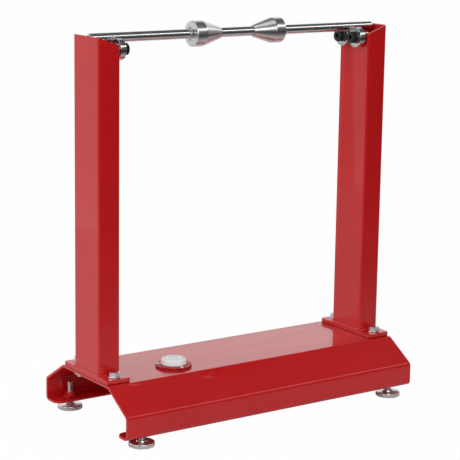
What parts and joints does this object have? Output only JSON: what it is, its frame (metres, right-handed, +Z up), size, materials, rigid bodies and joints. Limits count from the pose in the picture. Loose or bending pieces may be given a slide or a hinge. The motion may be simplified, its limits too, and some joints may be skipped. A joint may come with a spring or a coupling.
{
  "type": "wheel balancing stand",
  "caption": "Folded steel base on levelling feet with two tube posts that carry a shaft and centring cones on ball bearings, for a wheel to turn freely on.",
  "frame": {"origin": "on the floor, at the middle of the stand in length and width", "axes": "+Z up; +X along the base and the shaft, from the left post to the right post; +Y across the base, from the side with the level to the far side"},
  "size_m": [0.44, 0.2072, 0.4988],
  "materials": {
    "red_paint": "gloss powder coat",
    "polished_steel": "ground and polished",
    "turned_steel": "turned, knurled band",
    "bearing_steel": "ground",
    "shield_steel": "satin",
    "cage_plastic": "satin",
    "zinc": "bright zinc plate",
    "black_oxide": "black oxide",
    "clear_plastic": "clear moulded plastic",
    "white_plastic": "gloss",
    "level_liquid": "clear liquid",
    "level_air": "air bubble"
  },
  "bodies": {
    "stand": {"base_channel": "red_paint", "foot_weld_nuts": "red_paint", "post_plate_left": "red_paint", "post_left": "red_paint", "post_weld_left": "red_paint", "plate_bolts_left": "zinc", "plate_washers_left": "zinc", "plate_back_washers_left": "zinc", "plate_nuts_left": "zinc", "bearing_screws_left": "black_oxide", "bearing_spacers_left": "zinc", "bearing_nuts_left": "zinc", "bearing_inner_left_front": "bearing_steel", "bearing_inner_left_rear": "bearing_steel", "post_plate_right": "red_paint", "post_right": "red_paint", "post_weld_right": "red_paint", "plate_bolts_right": "zinc", "plate_washers_right": "zinc", "plate_back_washers_right": "zinc", "plate_nuts_right": "zinc", "bearing_screws_right": "black_oxide", "bearing_spacers_right": "zinc", "bearing_nuts_right": "zinc", "bearing_inner_right_front": "bearing_steel", "bearing_inner_right_rear": "bearing_steel", "level_housing": "clear_plastic", "level_disc": "white_plastic", "level_liquid": "level_liquid", "level_bubble": "level_air", "level_screws": "zinc"},
    "shaft": {"shaft": "polished_steel"},
    "cone_left": {"cone_left": "turned_steel"},
    "cone_screw_left": {"cone_screw_left": "black_oxide"},
    "roller_left_front": {"bearing_outer_left_front": "bearing_steel", "bearing_shields_left_front": "shield_steel"},
    "balls_left_front": {"bearing_balls_left_front": "bearing_steel", "bearing_cage_left_front": "cage_plastic"},
    "roller_left_rear": {"bearing_outer_left_rear": "bearing_steel", "bearing_shields_left_rear": "shield_steel"},
    "balls_left_rear": {"bearing_balls_left_rear": "bearing_steel", "bearing_cage_left_rear": "cage_plastic"},
    "cone_right": {"cone_right": "turned_steel"},
    "cone_screw_right": {"cone_screw_right": "black_oxide"},
    "roller_right_front": {"bearing_outer_right_front": "bearing_steel", "bearing_shields_right_front": "shield_steel"},
    "balls_right_front": {"bearing_balls_right_front": "bearing_steel", "bearing_cage_right_front": "cage_plastic"},
    "roller_right_rear": {"bearing_outer_right_rear": "bearing_steel", "bearing_shields_right_rear": "shield_steel"},
    "balls_right_rear": {"bearing_balls_right_rear": "bearing_steel", "bearing_cage_right_rear": "cage_plastic"},
    "foot_pad_left_front": {"foot_pad_left_front": "zinc"},
    "foot_stud_left_front": {"foot_stud_left_front": "zinc"},
    "foot_pad_left_rear": {"foot_pad_left_rear": "zinc"},
    "foot_stud_left_rear": {"foot_stud_left_rear": "zinc"},
    "foot_pad_right_front": {"foot_pad_right_front": "zinc"},
    "foot_stud_right_front": {"foot_stud_right_front": "zinc"},
    "foot_pad_right_rear": {"foot_pad_right_rear": "zinc"},
    "foot_stud_right_rear": {"foot_stud_right_rear": "zinc"}
  },
  "joints": [
    {"name": "shaft_spin", "type": "hinge", "parent": "stand", "child": "shaft", "pos_m": [0, 0, 0.48276], "axis": [1, 0, 0], "continuous": true},
    {"name": "cone_slide_left", "type": "slide", "parent": "shaft", "child": "cone_left", "axis": [1, 0, 0], "range_m": [-0.094, 0.022]},
    {"name": "cone_lock_left", "type": "slide", "parent": "cone_left", "child": "cone_screw_left", "axis": [0, 1, 0], "range_m": [0, 0.002]},
    {"name": "roller_spin_left_front", "type": "hinge", "parent": "stand", "child": "roller_left_front", "pos_m": [-0.1815, -0.01375, 0.4696], "axis": [1, 0, 0], "continuous": true},
    {"name": "balls_orbit_left_front", "type": "hinge", "parent": "stand", "child": "balls_left_front", "pos_m": [-0.1815, -0.01375, 0.4696], "axis": [1, 0, 0], "continuous": true},
    {"name": "roller_spin_left_rear", "type": "hinge", "parent": "stand", "child": "roller_left_rear", "pos_m": [-0.1815, 0.01375, 0.4696], "axis": [1, 0, 0], "continuous": true},
    {"name": "balls_orbit_left_rear", "type": "hinge", "parent": "stand", "child": "balls_left_rear", "pos_m": [-0.1815, 0.01375, 0.4696], "axis": [1, 0, 0], "continuous": true},
    {"name": "cone_slide_right", "type": "slide", "parent": "shaft", "child": "cone_right", "axis": [1, 0, 0], "range_m": [-0.022, 0.098]},
    {"name": "cone_lock_right", "type": "slide", "parent": "cone_right", "child": "cone_screw_right", "axis": [0, 1, 0], "range_m": [0, 0.002]},
    {"name": "roller_spin_right_front", "type": "hinge", "parent": "stand", "child": "roller_right_front", "pos_m": [0.1815, -0.01375, 0.4696], "axis": [1, 0, 0], "continuous": true},
    {"name": "balls_orbit_right_front", "type": "hinge", "parent": "stand", "child": "balls_right_front", "pos_m": [0.1815, -0.01375, 0.4696], "axis": [1, 0, 0], "continuous": true},
    {"name": "roller_spin_right_rear", "type": "hinge", "parent": "stand", "child": "roller_right_rear", "pos_m": [0.1815, 0.01375, 0.4696], "axis": [1, 0, 0], "continuous": true},
    {"name": "balls_orbit_right_rear", "type": "hinge", "parent": "stand", "child": "balls_right_rear", "pos_m": [0.1815, 0.01375, 0.4696], "axis": [1, 0, 0], "continuous": true},
    {"name": "foot_lift_left_front", "type": "slide", "parent": "stand", "child": "foot_pad_left_front", "axis": [0, 0, 1], "range_m": [-0.0125, 0.00375]},
    {"name": "foot_turn_left_front", "type": "hinge", "parent": "foot_pad_left_front", "child": "foot_stud_left_front", "pos_m": [-0.1922, -0.0876, 0.01], "axis": [0, 0, 1], "range_deg": [-3600, 1080]},
    {"name": "foot_lift_left_rear", "type": "slide", "parent": "stand", "child": "foot_pad_left_rear", "axis": [0, 0, 1], "range_m": [-0.0125, 0.00375]},
    {"name": "foot_turn_left_rear", "type": "hinge", "parent": "foot_pad_left_rear", "child": "foot_stud_left_rear", "pos_m": [-0.1922, 0.0876, 0.01], "axis": [0, 0, 1], "range_deg": [-3600, 1080]},
    {"name": "foot_lift_right_front", "type": "slide", "parent": "stand", "child": "foot_pad_right_front", "axis": [0, 0, 1], "range_m": [-0.0125, 0.00375]},
    {"name": "foot_turn_right_front", "type": "hinge", "parent": "foot_pad_right_front", "child": "foot_stud_right_front", "pos_m": [0.1922, -0.0876, 0.01], "axis": [0, 0, 1], "range_deg": [-3600, 1080]},
    {"name": "foot_lift_right_rear", "type": "slide", "parent": "stand", "child": "foot_pad_right_rear", "axis": [0, 0, 1], "range_m": [-0.0125, 0.00375]},
    {"name": "foot_turn_right_rear", "type": "hinge", "parent": "foot_pad_right_rear", "child": "foot_stud_right_rear", "pos_m": [0.1922, 0.0876, 0.01], "axis": [0, 0, 1], "range_deg": [-3600, 1080]}
  ],
  "couplings": [
    {"joint": "roller_spin_left_front", "follows": "shaft_spin", "ratio": -0.46154},
    {"joint": "balls_orbit_left_front", "follows": "shaft_spin", "ratio": -0.29183},
    {"joint": "roller_spin_left_rear", "follows": "shaft_spin", "ratio": -0.46154},
    {"joint": "balls_orbit_left_rear", "follows": "shaft_spin", "ratio": -0.29183},
    {"joint": "roller_spin_right_front", "follows": "shaft_spin", "ratio": -0.46154},
    {"joint": "balls_orbit_right_front", "follows": "shaft_spin", "ratio": -0.29183},
    {"joint": "roller_spin_right_rear", "follows": "shaft_spin", "ratio": -0.46154},
    {"joint": "balls_orbit_right_rear", "follows": "shaft_spin", "ratio": -0.29183},
    {"joint": "foot_lift_left_front", "follows": "foot_turn_left_front", "m_per_rad": 0.00019894},
    {"joint": "foot_lift_left_rear", "follows": "foot_turn_left_rear", "m_per_rad": 0.00019894},
    {"joint": "foot_lift_right_front", "follows": "foot_turn_right_front", "m_per_rad": 0.00019894},
    {"joint": "foot_lift_right_rear", "follows": "foot_turn_right_rear", "m_per_rad": 0.00019894}
  ]
}
